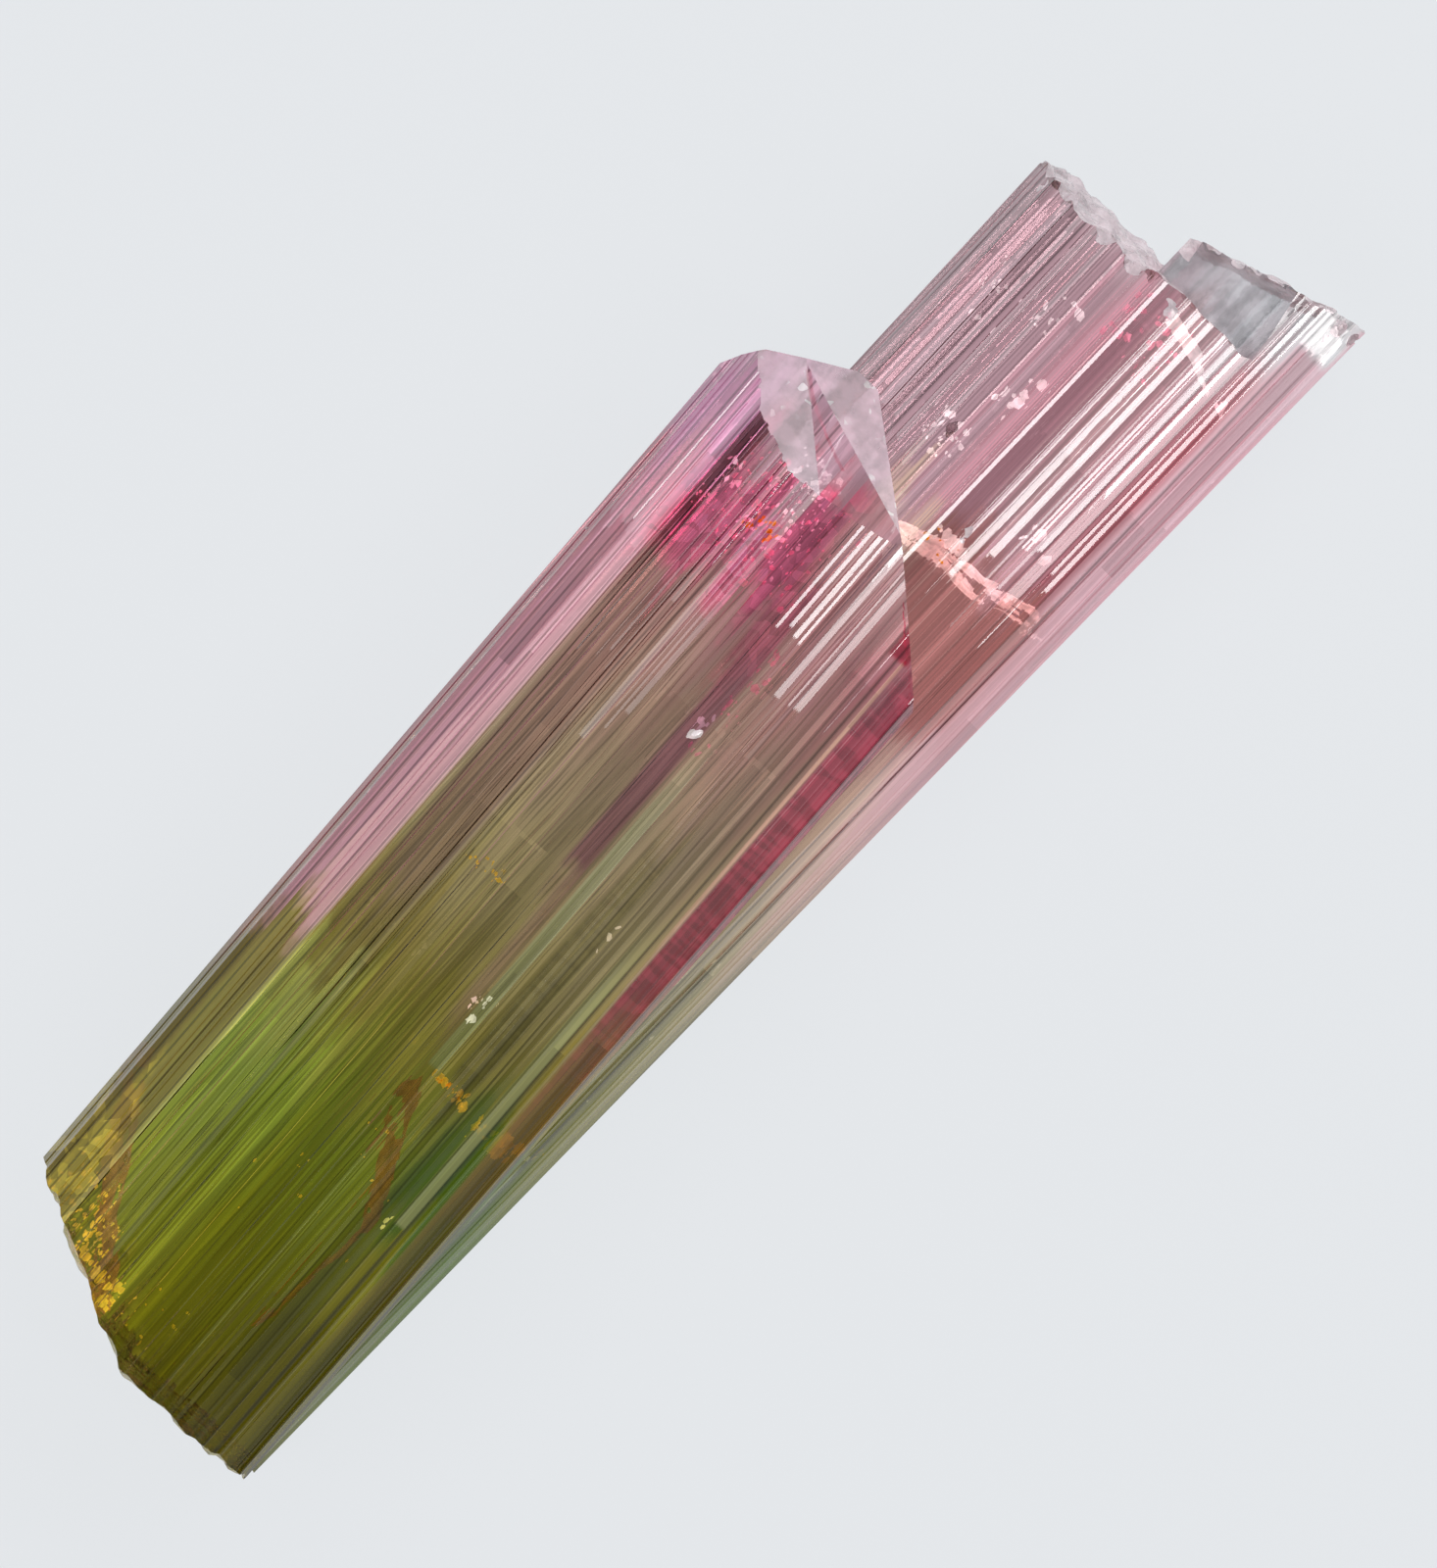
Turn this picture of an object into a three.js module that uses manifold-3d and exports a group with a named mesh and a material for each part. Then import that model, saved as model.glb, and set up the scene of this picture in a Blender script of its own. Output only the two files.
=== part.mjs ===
// Watermelon tourmaline: two striated prisms grown together side by side, green at the broken base
// and pink at the tips. Millimetres. +X runs from the base to the tips and +Z is up. The crystal
// lies on the flat back face of the longer prism.
import * as THREE from 'three';
import { mergeVertices } from 'three/addons/utils/BufferGeometryUtils.js';
import Module from 'manifold-3d';

const wasm = await Module();
wasm.setup();

// Driving dimensions
const LENGTH = 50; // broken base to the far tip
const SHORT_TIP = 38.15; // broken base to the tip of the short upper prism
const OVERRUN = 4; // how far a prism is drawn past each end before the end is cut
const RESTING_HALF_WIDTH = 4.7; // half of the flat face that the crystal lies on

// A corner is [across, up]. Each section is drawn at the tip end, across from the prism's own axis.
const SHORT_PRISM = {
  seed: 11,
  corners: [
    [-5.5, 5.6],
    [-3.6, 3.6],
    [4.7, 3.6],
    [5.6, 5.0],
    [5.8, 8.0],
    [5.45, 9.0],
    [3.9, 10.05],
    [2.0, 10.75],
    [0.8, 10.9],
    [-0.7, 10.85],
    [-1.95, 10.72],
    [-3.2, 10.2],
    [-3.75, 9.93],
    [-4.1, 9.76],
    [-4.7, 9.45],
    [-5.6, 8.9],
    [-5.85, 8.2],
    [-5.85, 7.1],
  ],
  axisAtBase: 2.03,
  turn: 2.75, // degrees that the axis leans towards +Y
  baseScale: 0.96, // width at the base over width at the tip
  end: SHORT_TIP,
};
const LONG_PRISM = {
  seed: 23,
  corners: [
    [-RESTING_HALF_WIDTH, 0],
    [RESTING_HALF_WIDTH, 0],
    [5.35, 0.9],
    [5.5, 2.6],
    [5.55, 4.7],
    [4.85, 6.6],
    [3.9, 7.1],
    [1.4, 7.42],
    [-0.65, 7.3],
    [-1.75, 7.07],
    [-4.15, 6.3],
    [-5.2, 4.6],
    [-5.55, 3.8],
    [-5.4, 1.2],
  ],
  axisAtBase: 1.15,
  turn: 0,
  baseScale: 0.87,
  end: LENGTH,
};

// Striations: ridges along the length, laid over every face but the resting one
const RIDGE_WIDTH = [0.2, 0.52];
const RIDGE_HEIGHT = [0.03, 0.13];
const RIDGE_SHOULDER = 0.3; // share of a ridge's width taken by its sloping side
const LENGTH_STEPS = 7; // stations along the length at which a ridge's height changes

// Ends of the short prism, as [x, y, z] points that each face passes through
const SHOULDER = [35.6, 9.42, 8.4];
const PEAK = [36.64, 8.65, 8.4];
const APEX = [37.17, 7.47, 9.08];
const UPPER_FACET_FOOT = [34.41, 5.12, 10.82];
const UPPER_FACET_RIM = [35.32, 7.79, 9.93];
const MIDDLE_FACET_TOP = [36.36, 6.51, 9.63];
const MIDDLE_FACET_FOOT = [34.65, 4.6, 10.79];
const MIDDLE_FACET_EDGE = [35.35, 1.85, 10.45];
const SHORT_TIP_CORNER = [SHORT_TIP, 5.3, 8.3];
const SHORT_LOW_END = [31.83, -2.16, 9];

// Ends of the long prism
const UPPER_END = 47.05; // where its upper half is broken off
const NOTCH_Y = 1.62; // the upper half starts here
const CREST = [46.4, 4, 7.15]; // a point of the slope that chipped off above the upper end
const CREST_OVERLAP = 0.6; // how far that slope reaches below the notch
const LEDGE_START = [46.75, -0.58, 6.45]; // middle of the foot of the riser behind the level ledge
const LEDGE_HALF_WIDTH = 2.25;
const FAR_CORNER = [49.98, -3.9, 4];
const FAR_STEP = [48.35, 1.6, 4];

// Broken surfaces: size of one uneven patch and how far it stands in or out
const PATCH = 1.1;
const ROUGHNESS = 0.3;

const BLOCK = 60; // side of a cutting block, larger than the crystal

function randomFrom(seed) {
  let state = seed * 2654435761;
  return () => {
    state = (state + 0x6d2b79f5) | 0;
    let t = Math.imul(state ^ (state >>> 15), 1 | state);
    t = (t + Math.imul(t ^ (t >>> 7), 61 | t)) ^ t;
    return ((t ^ (t >>> 14)) >>> 0) / 4294967296;
  };
}

const between = (random, [low, high]) => low + (high - low) * random();

// Points across one face: each ridge is a flat top with a sloping side down to the face.
function ridgesAcross(from, to, random) {
  const start = new THREE.Vector2(...from);
  const along = new THREE.Vector2(...to).sub(start);
  const width = along.length();
  along.normalize();
  const outward = new THREE.Vector2(along.y, -along.x);
  const point = (distance, height) => ({
    place: start.clone().addScaledVector(along, distance),
    outward,
    height,
  });
  const points = [point(0, 0)];
  let reached = 0;
  while (width - reached > RIDGE_WIDTH[1] + RIDGE_WIDTH[0]) {
    const ridge = between(random, RIDGE_WIDTH);
    const height = between(random, RIDGE_HEIGHT);
    points.push(point(reached + ridge * RIDGE_SHOULDER, -height));
    points.push(point(reached + ridge, -height * random()));
    reached += ridge;
  }
  return points;
}

function sectionPoints({ corners, seed }) {
  const random = randomFrom(seed);
  return corners.flatMap((corner, i) => {
    const next = corners[(i + 1) % corners.length];
    const resting = corner[1] === 0 && next[1] === 0;
    if (resting) {
      const flat = new THREE.Vector2(0, 0);
      return [{ place: new THREE.Vector2(...corner), outward: flat, height: 0 }];
    }
    return ridgesAcross(corner, next, random);
  });
}

// A striated prism along +X. Its ridges rise and fade from station to station.
function striatedPrism(spec) {
  const points = sectionPoints(spec);
  const shape = new THREE.Shape(points.map(({ place }) => place));
  const depth = spec.end + 2 * OVERRUN;
  const geometry = new THREE.ExtrudeGeometry(shape, {
    depth,
    steps: LENGTH_STEPS,
    bevelEnabled: false,
  });
  const random = randomFrom(spec.seed + 1);
  const heights = points.map(({ height }) =>
    Array.from({ length: LENGTH_STEPS + 1 }, () => height * (0.35 + 0.65 * random())),
  );
  const key = (x, y) => `${Math.fround(x)} ${Math.fround(y)}`;
  const indexOf = new Map(points.map(({ place }, i) => [key(place.x, place.y), i]));
  const position = geometry.attributes.position;
  for (let v = 0; v < position.count; v++) {
    const i = indexOf.get(key(position.getX(v), position.getY(v)));
    const along = position.getZ(v) / depth;
    const height = heights[i][Math.round(along * LENGTH_STEPS)];
    const { place, outward } = points[i];
    const width = spec.baseScale + (1 - spec.baseScale) * along;
    position.setX(v, (place.x + outward.x * height) * width);
    position.setY(v, place.y + outward.y * height);
  }
  const acrossUpAlong = new THREE.Matrix4().set(0, 0, 1, 0, 1, 0, 0, 0, 0, 1, 0, 0, 0, 0, 0, 1);
  geometry.applyMatrix4(acrossUpAlong);
  geometry.translate(-OVERRUN, 0, 0);
  geometry.rotateZ(THREE.MathUtils.degToRad(spec.turn));
  geometry.translate(0, spec.axisAtBase, 0);
  return toSolid(geometry);
}

function toSolid(geometry) {
  geometry.deleteAttribute('normal');
  geometry.deleteAttribute('uv');
  const merged = mergeVertices(geometry, 1e-4);
  return new wasm.Manifold(
    new wasm.Mesh({
      numProp: 3,
      vertProperties: new Float32Array(merged.attributes.position.array),
      triVerts: new Uint32Array(merged.index.array),
    }),
  );
}

function toGeometry(solid) {
  const { vertProperties, triVerts } = solid.getMesh();
  const geometry = new THREE.BufferGeometry();
  geometry.setAttribute('position', new THREE.BufferAttribute(vertProperties, 3));
  geometry.setIndex(new THREE.BufferAttribute(triVerts, 1));
  geometry.computeVertexNormals();
  return geometry;
}

// A block whose one face lies on the plane through the point, with the rest of it outside.
function blockBeyond(point, outward, patches = 1, roughness = 0, seed = 1) {
  const geometry = new THREE.BoxGeometry(BLOCK, BLOCK, BLOCK, patches, patches, 1);
  const random = randomFrom(seed);
  const offsets = new Map();
  const position = geometry.attributes.position;
  for (let v = 0; v < position.count; v++) {
    if (position.getZ(v) > 0) continue;
    const place = `${position.getX(v).toFixed(3)} ${position.getY(v).toFixed(3)}`;
    if (!offsets.has(place)) offsets.set(place, (random() - 0.5) * 2 * roughness);
    position.setZ(v, position.getZ(v) + offsets.get(place));
  }
  geometry.translate(0, 0, BLOCK / 2);
  const direction = new THREE.Vector3(...outward).normalize();
  geometry.applyQuaternion(
    new THREE.Quaternion().setFromUnitVectors(new THREE.Vector3(0, 0, 1), direction),
  );
  geometry.translate(...point);
  return toSolid(geometry);
}

const brokenBeyond = (point, outward, seed, roughness = ROUGHNESS) =>
  blockBeyond(point, outward, Math.round(BLOCK / PATCH), roughness, seed);

// The outward direction of the plane through three points, taken on the side of +X.
function facing(a, b, c) {
  const [p, q, r] = [a, b, c].map((point) => new THREE.Vector3(...point));
  const normal = q.sub(p).cross(r.sub(p)).normalize();
  if (normal.x < 0) normal.negate();
  return normal.toArray();
}

// A shallow chip: a small many-sided stone shape taken out of an edge or a face.
function chip([x, y, z], [length, width, depth], turn = 0) {
  const geometry = new THREE.IcosahedronGeometry(1, 0);
  geometry.scale(length / 2, width / 2, depth);
  geometry.rotateZ(THREE.MathUtils.degToRad(turn));
  geometry.translate(x, y, z);
  return toSolid(geometry);
}

function cut(solid, tools) {
  return tools.reduce((left, tool) => left.subtract(tool), solid);
}

function shortPrism() {
  const low = new THREE.Vector3(...SHORT_LOW_END);
  const tip = new THREE.Vector3(...SHORT_TIP_CORNER);
  const sloping = [tip.y - low.y, low.x - tip.x, -1.2];
  return cut(striatedPrism(SHORT_PRISM), [
    blockBeyond(APEX, facing(APEX, UPPER_FACET_FOOT, UPPER_FACET_RIM)),
    blockBeyond(MIDDLE_FACET_TOP, facing(MIDDLE_FACET_TOP, MIDDLE_FACET_FOOT, MIDDLE_FACET_EDGE)),
    blockBeyond(APEX, facing(APEX, MIDDLE_FACET_EDGE, SHORT_TIP_CORNER)),
    blockBeyond(SHORT_LOW_END, sloping),
    blockBeyond(SHOULDER, [0.58, 0.82, -0.1]),
    blockBeyond(PEAK, [0.85, 0.53, -0.1]),
    blockBeyond(SHORT_TIP_CORNER, [1, 0, -0.15]),
  ]);
}

function upperHalfBeyondEnd() {
  const brokenFace = brokenBeyond([UPPER_END, 4, 4], [1, 0.05, 0.12], 31);
  return brokenFace.intersect(blockBeyond([UPPER_END, NOTCH_Y, 4], [0, 1, 0]));
}

function crestSlope() {
  const slope = brokenBeyond(CREST, [0.75, 0.12, 0.65], 33);
  return slope.intersect(blockBeyond([0, NOTCH_Y - CREST_OVERLAP, 0], [0, 1, 0]));
}

// The space over the ledge: behind it an uneven riser, under it one smooth level face
function spaceOverLedge() {
  const [x, y, z] = LEDGE_START;
  return [
    blockBeyond([x, y, z], [0, 0, 1]),
    blockBeyond([x, y - LEDGE_HALF_WIDTH, z], [0, 1, 0]),
    blockBeyond([x, y + LEDGE_HALF_WIDTH, z], [0, -1, 0]),
  ].reduce((space, side) => space.intersect(side), brokenBeyond([x, y, z], [1, 0, 0.06], 35, 0.2));
}

function longPrism() {
  const [cornerX, cornerY] = FAR_CORNER;
  const [stepX, stepY] = FAR_STEP;
  const endFace = [stepY - cornerY, cornerX - stepX, -0.1];
  return cut(striatedPrism(LONG_PRISM), [
    upperHalfBeyondEnd(),
    crestSlope(),
    spaceOverLedge(),
    brokenBeyond(FAR_CORNER, endFace, 37, 0.12),
    blockBeyond([49.75, -4.3, 4], [0.7, -0.7, 0.1]),
  ]);
}

function chips() {
  return [
    chip([46.5, 6.5, 6.3], [1.5, 0.9, 0.6], 20),
    chip([46.95, 5.2, 6.9], [1.0, 1.2, 0.5], 10),
    chip([46.3, 0.5, 7.4], [0.8, 0.6, 0.3], 0),
    chip([46.0, -0.8, 7.3], [0.7, 0.8, 0.3], 0),
    chip([45.7, -2.1, 7.0], [0.6, 0.9, 0.3], 10),
    chip([49.5, -3.7, 5.2], [0.9, 0.7, 0.6], -30),
    chip([36.8, 0.35, 7.35], [0.8, 0.5, 0.2], 6),
    chip([38.1, -1.4, 7.1], [1.0, 0.6, 0.2], 0),
    chip([9.2, -1.65, 10.05], [0.9, 0.5, 0.16], 40),
    chip([26.5, 2.2, 10.9], [0.9, 0.6, 0.16], 0),
    chip([28.8, 9.2, 8.6], [0.7, 0.4, 0.3], 0),
    chip([24.0, -3.95, 4.6], [0.8, 0.4, 0.3], 0),
    chip([14.2, -3.85, 4.5], [0.6, 0.35, 0.3], 0),
  ];
}

function brokenBase() {
  return [
    brokenBeyond([0.25, -1, 5], [-1, -0.02, -0.03], 41),
    brokenBeyond([-0.1, 0.9, 6], [-0.9, 0.42, -0.03], 43),
  ];
}

const solid = cut(shortPrism().add(longPrism()), [...brokenBase(), ...chips()]);
const geometry = toGeometry(solid);
geometry.computeBoundingBox();
const middle = geometry.boundingBox.getCenter(new THREE.Vector3());

const tourmaline = new THREE.MeshStandardMaterial({
  color: 0xc08a90,
  roughness: 0.12,
  metalness: 0,
});

const crystal = new THREE.Mesh(geometry, tourmaline);
crystal.name = 'tourmaline_crystal';
crystal.position.set(-middle.x, -middle.y, 0);

const group = new THREE.Group();
group.add(crystal);

export default group;
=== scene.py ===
"""A watermelon tourmaline lying on its back face: two intergrown striated prisms, green at the
broken base and pink at the tips. Shapes are drawn in millimetres from the broken base, then
placed in the frame in metres."""

import math
import random

import bmesh
import bpy
from mathutils import Euler, Matrix, Vector, noise


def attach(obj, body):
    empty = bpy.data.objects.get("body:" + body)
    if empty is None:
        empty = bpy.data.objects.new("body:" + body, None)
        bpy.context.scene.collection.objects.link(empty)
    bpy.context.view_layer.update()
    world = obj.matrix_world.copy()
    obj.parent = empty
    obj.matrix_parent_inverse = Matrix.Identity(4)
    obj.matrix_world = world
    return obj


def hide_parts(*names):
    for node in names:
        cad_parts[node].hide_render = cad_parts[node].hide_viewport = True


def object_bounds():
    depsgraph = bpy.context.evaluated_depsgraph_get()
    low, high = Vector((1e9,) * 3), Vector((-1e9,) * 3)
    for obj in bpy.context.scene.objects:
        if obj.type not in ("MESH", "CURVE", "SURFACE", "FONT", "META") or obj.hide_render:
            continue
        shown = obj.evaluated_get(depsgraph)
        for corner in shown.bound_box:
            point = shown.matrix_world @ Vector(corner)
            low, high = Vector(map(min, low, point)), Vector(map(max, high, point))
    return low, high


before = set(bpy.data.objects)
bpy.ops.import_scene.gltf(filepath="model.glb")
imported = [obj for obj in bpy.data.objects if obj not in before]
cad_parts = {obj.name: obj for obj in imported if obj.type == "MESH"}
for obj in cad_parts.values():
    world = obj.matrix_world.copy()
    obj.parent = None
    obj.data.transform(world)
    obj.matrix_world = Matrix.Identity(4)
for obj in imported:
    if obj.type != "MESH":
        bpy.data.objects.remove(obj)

CAD_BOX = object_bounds()
MM = 0.001

# The noise of the chips and cracks is seeded, because it starts from the clock otherwise.
NOISE_SEED = 7
noise.seed_set(NOISE_SEED)

# The drawing's zero in the frame. The ragged base stands out past x = 0, and the lower edge
# reaches down from y = 0.
BASE_STANDS_OUT = 0.171
LOWER_EDGE_DOWN = 4.347
ZERO = Vector(CAD_BOX[0]) + Vector((BASE_STANDS_OUT, LOWER_EDGE_DOWN, 0)) * MM
PLACE = Matrix.Translation(ZERO) @ Matrix.Scale(MM, 4)

# Sections at the tip end. A corner is (across, up) from the prism's own axis. The faces outside
# the clear reach across are a little cloudy.
SHORT = {
    "corners": [
        (-5.5, 5.6), (-3.6, 3.6), (4.7, 3.6), (5.6, 5.0), (5.8, 8.0), (5.45, 9.0),
        (3.9, 10.05), (2.0, 10.75), (0.8, 10.9), (-0.7, 10.85), (-1.95, 10.72), (-3.2, 10.2),
        (-3.75, 9.93), (-4.1, 9.76), (-4.7, 9.45), (-5.6, 8.9), (-5.85, 8.2), (-5.85, 7.1),
    ],
    "clear": (-4.1, 3.9),
    "seed": 5,
    "axis_at_base": 2.03,
    "turn": math.radians(2.75),
    "base_scale": 0.96,
    "length": 38.15,
}
LONG = {
    "corners": [
        (-4.7, 0.0), (4.7, 0.0), (5.35, 0.9), (5.5, 2.6), (5.55, 4.7), (4.85, 6.6), (3.9, 7.1),
        (1.4, 7.42), (-0.65, 7.3), (-1.75, 7.07), (-4.15, 6.3), (-5.2, 4.6), (-5.55, 3.8),
        (-5.4, 1.2),
    ],
    "clear": (-4.15, 4.85),
    "seed": 9,
    "axis_at_base": 1.15,
    "turn": 0.0,
    "base_scale": 0.87,
    "length": 50.0,
}
OVERRUN = 2.0
STATION = 0.8

# Striations: flats at slightly different levels and tilts, with narrow risers between them.
# A flat's level changes at a few steps along its length.
FLAT_WIDTH = (0.06, 0.5)
RISER_WIDTH = (0.015, 0.05)
RELIEF = 0.05
TILT = 0.05
STEEP_TILT = 0.16
STEEP_SHARE = 0.15
MOST_STEPS = 1
STEP_CHANGE = 0.3
HIDDEN_WIDTH = 4.0
HIDDEN_RELIEF = 0.3

# Ends of the short prism
PEAK = (36.64, 8.65, 8.4)
APEX = (37.17, 7.47, 9.08)
UPPER_FACET_FOOT = (34.41, 5.12, 10.82)
UPPER_FACET_RIM = (35.32, 7.79, 9.93)
MIDDLE_FACET_TOP = (36.36, 6.51, 9.63)
MIDDLE_FACET_FOOT = (34.65, 4.6, 10.79)
MIDDLE_FACET_EDGE = (35.35, 1.85, 10.45)
SHORT_TIP_CORNER = (38.15, 5.3, 8.3)
SHORT_LOW_END = (31.83, -2.16, 9.0)
SHOULDER = (35.6, 9.42, 8.4)

# Ends of the long prism
UPPER_END = 47.05
NOTCH_Y = 1.62
LEDGE_X = 46.75
LEDGE_Z = 6.45
LEDGE_MIDDLE_Y = -0.58
FAR_CORNER = (49.98, -3.9, 4.0)

# The base's two breaks: a point, the way out and a seed
BASE_BREAKS = (
    ((0.25, -1, 5), (-1, -0.02, -0.03), 11), ((-0.1, 0.9, 6), (-0.9, 0.42, -0.03), 17)
)
LEDGE_SIZE = 4.5
BREAK_SIZE = 13.0
BREAK_CELL = 0.16

# Chips: place, size and turn in degrees
CHIP_WAVE = 0.18
TIP_CHIPS = [
    ((46.5, 6.5, 6.3), (1.5, 0.9, 0.9), 20), ((46.95, 5.2, 6.9), (1.0, 1.2, 0.7), 10),
    ((46.75, 3.6, 7.3), (1.1, 0.9, 0.6), -15), ((46.7, 2.4, 7.35), (1.0, 0.8, 0.7), 25),
    ((46.3, 0.5, 7.4), (0.8, 0.6, 0.5), 0), ((46.2, -0.2, 7.4), (0.5, 0.6, 0.5), 30),
    ((46.05, -0.85, 7.3), (0.6, 0.5, 0.4), 0), ((45.85, -1.45, 7.2), (0.5, 0.5, 0.4), 50),
    ((45.7, -2.05, 7.0), (0.5, 0.6, 0.4), 10), ((45.5, -2.65, 6.8), (0.5, 0.4, 0.4), -20),
    ((45.3, 0.2, 7.35), (0.4, 0.25, 0.2), 10), ((45.2, -0.9, 7.3), (0.5, 0.2, 0.2), 0),
    ((49.5, -3.7, 5.2), (0.7, 0.6, 0.9), -30), ((48.9, -3.7, 5.4), (0.6, 0.4, 0.5), 10),
    ((49.6, -4.2, 4.0), (0.5, 0.5, 0.8), 0), ((48.45, 1.5, 6.4), (0.6, 0.5, 0.5), 0),
    ((48.6, 0.9, 6.45), (0.35, 0.7, 0.4), 10), ((48.8, 0.2, 6.45), (0.3, 0.8, 0.4), 0),
    ((49.0, -0.5, 6.45), (0.35, 0.7, 0.45), 20), ((49.2, -1.2, 6.45), (0.3, 0.8, 0.4), 0),
    ((49.4, -1.9, 6.4), (0.4, 0.7, 0.4), 10), ((49.6, -2.6, 6.4), (0.35, 0.8, 0.5), 15),
    ((49.75, -3.2, 6.2), (0.4, 0.6, 0.6), 0),
    ((36.8, 0.35, 7.35), (0.7, 0.35, 0.3), 6), ((37.3, -0.9, 7.15), (0.5, 0.8, 0.3), -12),
    ((38.1, -1.4, 7.1), (0.9, 0.5, 0.3), 0), ((38.9, 2.9, 7.15), (0.6, 0.25, 0.2), 0),
    ((26.5, 2.2, 10.9), (0.8, 0.5, 0.2), 0), ((28.8, 9.2, 8.6), (0.7, 0.4, 0.4), 0),
    ((24.0, -3.95, 4.6), (0.8, 0.35, 0.4), 0),
]
BASE_CHIPS = [
    ((9.2, -1.65, 10.05), (0.7, 0.4, 0.22), 40), ((14.2, -3.85, 4.5), (0.6, 0.3, 0.4), 0),
    ((5.0, 5.9, 10.2), (0.7, 0.3, 0.25), 30),
]

# Cracks and flakes inside
FLAKE_THICKNESS = 0.02
CRACK_CELL = 0.15
LEAST_COVER = 0.12

# The white flakes are painted glints: small white plates that glow.
WHITE_GLINT_CLUSTERS = [
    ((26.5, 2.0, 10.2), (27.3, 2.4, 10.5), 10, (0.2, 0.55), 0.6),
    ((15.3, 1.1, 10.2), (16.4, 1.5, 10.5), 9, (0.15, 0.45), 0.6),
    ((19.4, -0.6, 9.9), (20.7, -0.1, 10.2), 12, (0.2, 0.5), 0.3),
    ((8.6, -1.9, 9.6), (9.3, -1.2, 9.95), 7, (0.2, 0.5), 0.4),
    ((12.9, -3.4, 4.8), (17.0, -2.8, 5.6), 10, (0.12, 0.35), 0.5),
    ((17.0, -3.7, 4.8), (22.0, -3.1, 5.6), 10, (0.12, 0.35), 0.5),
    ((31.6, 3.6, 9.7), (35.2, 5.8, 10.3), 80, (0.08, 0.36), 0.9),
    ((32.8, 6.3, 9.6), (33.6, 7.0, 9.9), 8, (0.2, 0.4), 0.4),
    ((34.0, 4.2, 9.8), (35.4, 5.6, 10.2), 14, (0.12, 0.4), 0.7),
    ((36.1, 0.3, 6.7), (36.6, 0.9, 7.0), 6, (0.4, 0.8), 0.4),
    ((37.6, -1.7, 6.6), (38.4, -1.0, 6.9), 8, (0.3, 0.7), 0.5),
    ((37.9, 2.3, 6.5), (39.4, 3.6, 6.8), 26, (0.15, 0.6), 0.5),
    ((40.2, 1.8, 6.6), (42.2, 2.6, 6.9), 12, (0.2, 0.7), 0.4),
    ((43.0, 2.4, 6.6), (44.4, 3.5, 6.9), 16, (0.12, 0.5), 0.6),
    ((41.0, 4.6, 5.9), (44.0, 5.4, 6.3), 10, (0.1, 0.4), 0.4),
    ((48.3, -4.1, 4.0), (49.4, -3.2, 5.0), 40, (0.2, 0.6), 0.6),
    ((36.1, 0.1, 6.5), (36.5, 1.2, 6.9), 12, (0.2, 0.7), 0.4),
    ((37.8, -2.0, 6.3), (38.5, -0.9, 6.7), 12, (0.2, 0.7), 0.5),
    ((0.5, 6.9, 8.6), (1.6, 7.3, 8.9), 5, (0.1, 0.4), 0.5),
]
PINK_CLUSTERS = [
    ((30.8, 2.6, 9.9), (34.8, 6.0, 10.5), 90, (0.08, 0.35), 0.9),
    ((31.5, 5.5, 9.3), (34.5, 7.2, 9.8), 50, (0.08, 0.3), 0.9),
    ((26.0, 1.6, 9.8), (30.5, 2.3, 10.4), 20, (0.12, 0.5), 0.7),
    ((44.0, -0.6, 6.4), (46.2, 1.8, 6.8), 60, (0.12, 0.45), 0.9),
]
GOLDEN_CLUSTERS = [
    ((1.1, 3.0, 9.4), (2.2, 4.2, 10.3), 45, (0.12, 0.5), 0.9),
    ((1.8, 4.2, 9.0), (3.3, 5.2, 10.1), 55, (0.12, 0.5), 0.9),
    ((2.2, 5.2, 8.6), (4.2, 6.2, 9.8), 40, (0.12, 0.4), 0.9),
    ((2.7, 6.2, 8.2), (5.5, 7.2, 9.2), 24, (0.1, 0.35), 0.9),
    ((1.0, 1.0, 9.9), (3.0, 3.0, 10.4), 10, (0.1, 0.3), 0.9),
    ((18.9, 3.3, 9.9), (19.5, 4.8, 10.2), 16, (0.1, 0.35), 0.8),
    ((6.0, -3.0, 8.8), (13.0, 3.0, 10.3), 24, (0.08, 0.2), 0.8),
    ((12.9, -2.7, 8.4), (13.5, -1.9, 8.8), 22, (0.25, 0.8), 0.4),
    ((13.3, -0.1, 10.0), (13.5, 0.75, 10.4), 16, (0.12, 0.5), 0.9),
    ((13.15, -1.1, 9.8), (13.6, -0.1, 10.3), 34, (0.12, 0.5), 0.9),
    ((13.0, -2.3, 9.2), (13.4, -1.1, 9.8), 26, (0.12, 0.5), 0.9),
    ((12.9, -3.6, 4.6), (14.0, -3.1, 5.2), 14, (0.15, 0.5), 0.6),
]
AMBER_CLUSTERS = [
    ((13.3, -0.3, 10.0), (13.5, 0.75, 10.4), 12, (0.1, 0.4), 0.9),
    ((32.3, 4.4, 10.0), (33.0, 5.4, 10.4), 18, (0.15, 0.4), 0.8),
    ((35.6, 0.2, 6.6), (36.4, 1.4, 6.9), 8, (0.1, 0.3), 0.8),
]
BASE_VEIL = [(8.06, 7.66, 8.9), (6.4, 6.6, 9.6), (5.05, 5.8, 9.9), (3.5, 4.86, 10.1),
             (2.34, 3.68, 10.2), (1.2, 2.9, 10.2)]
STREAK_VEIL = [(4.7, -0.8, 10.2), (7.0, -1.0, 10.2), (9.1, -1.2, 10.2), (10.2, -0.6, 10.3),
               (11.1, 0.0, 10.3), (13.2, 0.97, 10.3)]
RIDGE_LINE = [(37.1, 7.3, 8.9), (36.6, 6.7, 9.25), (36.25, 6.1, 9.45), (35.9, 5.3, 9.7),
              (35.5, 4.4, 9.9)]
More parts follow.
